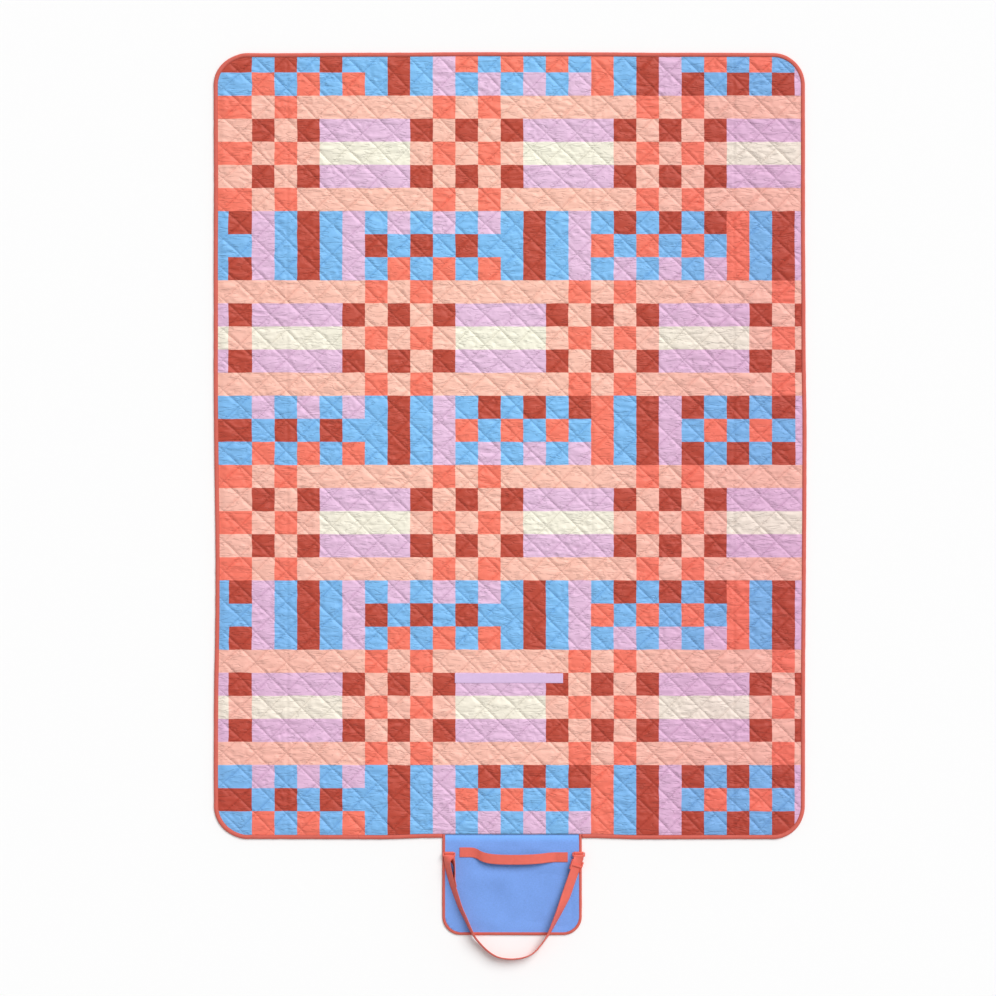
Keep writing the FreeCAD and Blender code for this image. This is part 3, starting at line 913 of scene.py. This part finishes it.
def webbing_material():
    """Polypropylene webbing: cross ribs, a darker edge, and crossed boxes of stitches where it is sewn."""
    material, start, shader = new_material("webbing", Roughness=0.62, Specular_IOR_Level=0.35)
    flat = start.node("UVMap", {"uv_map": "flat"}, {})
    along = part_of(flat, 0)
    across = part_of(flat, 1)
    patches = noise(start, flat, 80.0, 3.0)
    box_long, box_wide, thread_width = 0.0135, 0.0092, 0.0007
    from_middle = along.maths("ABSOLUTE", along - 0.017)
    from_line = across.maths("ABSOLUTE", across)
    beyond = from_middle.maths("MAXIMUM", from_middle * (1 / box_long), from_line * (1 / box_wide))
    rim = from_line.maths("ABSOLUTE", beyond - 1) * box_wide
    cross = from_line.maths("ABSOLUTE", from_middle * (1 / box_long) - from_line * (1 / box_wide)) * (box_wide * 0.7)
    cross = cross + beyond.maths("GREATER_THAN", beyond, 1.0)
    nearest = rim.maths("MINIMUM", rim, cross)
    stitched = nearest.maths("LESS_THAN", nearest, thread_width)
    dash = along.maths("FRACT", (along + across) * (1 / 0.0032))
    thread = stitched * dash.maths("LESS_THAN", dash, 0.7)
    edge = eased(from_line, 0.0100, 0.0125)
    # Painted shade: the stitched lines are darkened between the lighter thread dashes
    tone = 0.90 + patches * 0.20 - edge * 0.10 - stitched * 0.16 + thread * 0.24
    colour = tinted(start, webbing_coral + (1,), tone)
    ribs = start.node("TexWave", {"bands_direction": "X"}, {"Vector": flat, "Scale": 210.0, "Distortion": 0.3})
    cords = start.node("TexWave", {"bands_direction": "Y"}, {"Vector": flat, "Scale": 140.0, "Distortion": 0.3})
    height = ribs * 0.00012 + cords * 0.00008 - stitched * 0.0004 + thread * 0.0003
    surface(shader, colour, height, 0.8)
    return material


def smooth_run(points, spacing):
    """Rows of numbers along a smooth curve through the given rows, about evenly spaced by their places."""
    points = np.array(points, float)
    padded = np.concatenate([[2 * points[0] - points[1]], points, [2 * points[-1] - points[-2]]])
    rows_out = []
    for p0, p1, p2, p3 in zip(padded, padded[1:], padded[2:], padded[3:]):
        count = max(2, int(np.linalg.norm((p2 - p1)[:3]) / spacing))
        for t in np.arange(count) / count:
            bend = (2 * p0 - 5 * p1 + 4 * p2 - p3) * t * t + (3 * p1 - p0 - 3 * p2 + p3) * t ** 3
            rows_out.append((2 * p1 + (p2 - p0) * t + bend) / 2)
    return np.array(rows_out + [points[-1]])


def webbing(name, stations, stitch_start=0.0, width=webbing_width):
    """A band of webbing through stations, each a centre and the direction across the band."""
    run = smooth_run([list(centre) + list(across) for centre, across in stations], 0.0022)
    centre, across = run[:, :3], run[:, 3:]
    across = across / np.linalg.norm(across, axis=1, keepdims=True)
    travelled = np.concatenate([[0], np.cumsum(np.linalg.norm(np.diff(centre, axis=0), axis=1))])
    strands = 8
    mesh, along, over = grid_mesh(name, len(run) - 1, strands)
    side = (over / strands - 0.5) * width
    move_vertices(mesh, centre[along] + across[along] * side[:, None])
    map_flat(mesh, "flat", np.stack([travelled[along] - stitch_start, side], 1))
    piece = add_piece(name, mesh, webbing_stuff)
    wall(piece, webbing_thickness, 0.0)
    softened = piece.modifiers.new("Bevel", "BEVEL")
    softened.width = 0.0004
    softened.segments = 2
    softened.limit_method = "ANGLE"
    softened.angle_limit = math.radians(50)
    return piece


webbing_stuff = webbing_material()
# Each row: x, y, and the height of the webbing's middle over the flap's face
handle_left = (
    (-0.1300, -1.0385, 0.0009), (-0.1130, -1.0385, 0.0009), (-0.0975, -1.0390, 0.0010), (-0.0860, -1.0420, 0.0040),
    (-0.0740, -1.0480, 0.0095), (-0.0580, -1.0525, 0.0135), (-0.0340, -1.0550, 0.0160), (-0.0050, -1.0558, 0.0172),
    (0.0080, -1.0558, 0.0174),
)
handle_right = (
    (0.1460, -1.0510, 0.0009), (0.1290, -1.0510, 0.0009), (0.1135, -1.0510, 0.0010), (0.0960, -1.0518, 0.0055),
    (0.0780, -1.0535, 0.0110), (0.0540, -1.0550, 0.0153), (0.0250, -1.0558, 0.0171), (0.0080, -1.0558, 0.0174),
)
for side, route, sewn_to, free_from in (
    ("left", handle_left, -0.0965, -0.0620), ("right", handle_right, 0.1125, 0.0780),
):
    facing = 1 if side == "left" else -1
    stations = [((x, y, flap_top + up), (0, facing, 0)) for x, y, up in route]
    piece = webbing("handle_half_" + side, stations)
    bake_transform(piece)
    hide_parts("handle_end_" + side, "carry_handle")


# Ring tabs: a short loop of webbing round each side ring's rear bar, sewn down to the flap beside its edge.
tab_width = 0.024
ring_wire = 0.0016
loop = 0.0026
for side in ("left", "right"):
    low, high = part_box("ring_" + side)
    x, y, z = (low.x + high.x) / 2, high.y - ring_wire, low.z + ring_wire
    stations = [((x, y - 0.0165, flap_top + 0.0008), (1, 0, 0)), ((x, y - 0.008, flap_top + 0.0008), (1, 0, 0))]
    for turn in (-60, -15, 30, 75, 110):
        angle = math.radians(turn)
        stations.append(((x, y + loop * math.cos(angle), z + loop * math.sin(angle)), (1, 0, 0)))
    stations += [((x, y - 0.008, flap_top + 0.0027), (1, 0, 0)), ((x, y - 0.017, flap_top + 0.0025), (1, 0, 0))]
    piece = webbing("ring_loop_" + side, stations, 0.012, tab_width)
    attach(piece, "flap")
    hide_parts("ring_tab_" + side)


# Shoulder strap: one length of webbing from ring to ring, standing mostly on its edge.
# Its left end is doubled back round the ring and sewn; its right end goes through the slider and round the ring.
ring_front = {}
for side in ("left", "right"):
    low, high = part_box("ring_" + side)
    ring_front[side] = ((low.x + high.x) / 2, low.y + ring_wire, high.z - ring_wire)
# Each row: x, y, the tilt of the width from flat in degrees, and the height of the lower edge
strap_run = (
    (-0.1610, -1.0600, 50, 0.0076), (-0.1595, -1.0750, 55, 0.0058), (-0.1550, -1.0950, 56, 0.0050),
    (-0.1478, -1.1200, 56, 0.0046), (-0.1380, -1.1500, 60, 0.0044), (-0.1280, -1.1780, 65, 0.0044),
    (-0.1150, -1.2060, 69, 0.0044), (-0.1030, -1.2320, 73, 0.0046), (-0.0910, -1.2540, 76, 0.0046),
    (-0.0800, -1.2680, 77, 0.0018), (-0.0670, -1.2820, 77, 0.0004), (-0.0530, -1.2940, 77, 0.0003),
    (-0.0380, -1.3030, 77, 0.0003), (-0.0200, -1.3085, 77, 0.0003), (0.0010, -1.3105, 77, 0.0003),
    (0.0220, -1.3090, 77, 0.0003), (0.0400, -1.3045, 78, 0.0003), (0.0550, -1.2975, 79, 0.0003),
    (0.0670, -1.2870, 79, 0.0004), (0.0770, -1.2750, 79, 0.0014), (0.0880, -1.2600, 79, 0.0045),
    (0.0980, -1.2440, 74, 0.0045), (0.1085, -1.2220, 66, 0.0046), (0.1190, -1.2000, 57, 0.0052),
    (0.1300, -1.1750, 44, 0.0070), (0.1415, -1.1470, 25, 0.0090), (0.1525, -1.1155, 25, 0.0090),
    (0.1630, -1.0855, 25, 0.0090), (0.1708, -1.0630, 22, 0.0094),
)
strap_tail = (
    (-0.1440, -1.1240, 58, 0.0062), (-0.1448, -1.1050, 72, 0.0060), (-0.1432, -1.0880, 79, 0.0060),
    (-0.1438, -1.0720, 78, 0.0062), (-0.1490, -1.0570, 55, 0.0072),
)


def leaning_station(before, here, after):
    """A station of the strap: its centre, and its width leaning from flat towards the inside of the loop."""
    heading = Vector((after[0] - before[0], after[1] - before[1], 0)).normalized()
    lean = math.radians(here[2])
    inward = Vector((-heading.y, heading.x, 0))
    across = inward * math.cos(lean) + Vector((0, 0, math.sin(lean)))
    return Vector((here[0], here[1], here[3] + webbing_width / 2 * math.sin(lean))), across


def round_bar(bar, turns):
    """Stations that take the webbing round a ring's bar, at the given angles."""
    x, y, z = bar
    reach = 0.0027
    return [
        (Vector((x, y + reach * math.cos(math.radians(t)), z + reach * math.sin(math.radians(t)))), Vector((1, 0, 0)))
        for t in turns
    ]


def stations_along(route):
    last = len(route) - 1
    return [leaning_station(route[max(i - 1, 0)], route[i], route[min(i + 1, last)]) for i in range(last + 1)]


strap_end = (Vector((0.1700, -1.0640, 0.0085)), Vector((-1, 0.30, 0.35)))
strap_stations = stations_along(strap_tail[::-1])[::-1]
strap_stations += round_bar(ring_front["left"], (-80, -35, 10, 55, 100))
strap_stations += stations_along(strap_run)
strap_stations += [(centre, -across) for centre, across in round_bar(ring_front["right"], (115, 70, 25, -20, -65))]
strap_stations.append(strap_end)
piece = webbing("shoulder_webbing", strap_stations, 0.118)
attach(piece, "strap")
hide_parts("shoulder_strap")


# Slider and rings: moulded coral plastic; the slider is a three-bar adjuster threaded on the strap.
plastic_coral = (0.800, 0.140, 0.100)


def plastic_material():
    """Moulded plastic with a fine even grain and a soft shine."""
    material, start, shader = new_material("moulded_plastic", Roughness=0.38, Specular_IOR_Level=0.5)
    spot = start.node("TexCoord", {}, {}, 3)
    grain = noise(start, spot, 1400.0, 2.0)
    patches = noise(start, spot, 120.0, 2.0)
    colour = tinted(start, plastic_coral + (1,), 0.94 + patches * 0.12)
    surface(shader, colour, grain * 0.0001, 0.4)
    return material


moulded_plastic = plastic_material()
for side in ("left", "right"):
    frame["nodes"]["ring_" + side].data.materials.clear()
    frame["nodes"]["ring_" + side].data.materials.append(moulded_plastic)
shell = bmesh.new()
shell.from_mesh(frame["nodes"]["strap_slider"].data)
bmesh.ops.remove_doubles(shell, verts=shell.verts, dist=0.00001)
bmesh.ops.dissolve_limit(shell, angle_limit=math.radians(2), verts=shell.verts, edges=shell.edges)
sharp = [edge for edge in shell.edges if len(edge.link_faces) == 2 and edge.calc_face_angle() > math.radians(30)]
bmesh.ops.bevel(shell, geom=sharp, offset=0.0007, segments=3, profile=0.5, affect="EDGES", material=-1)
slider_mesh = bpy.data.meshes.new("adjuster")
shell.to_mesh(slider_mesh)
shell.free()
piece = add_piece("adjuster", slider_mesh, moulded_plastic)
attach(piece, "slider")
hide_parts("strap_slider")
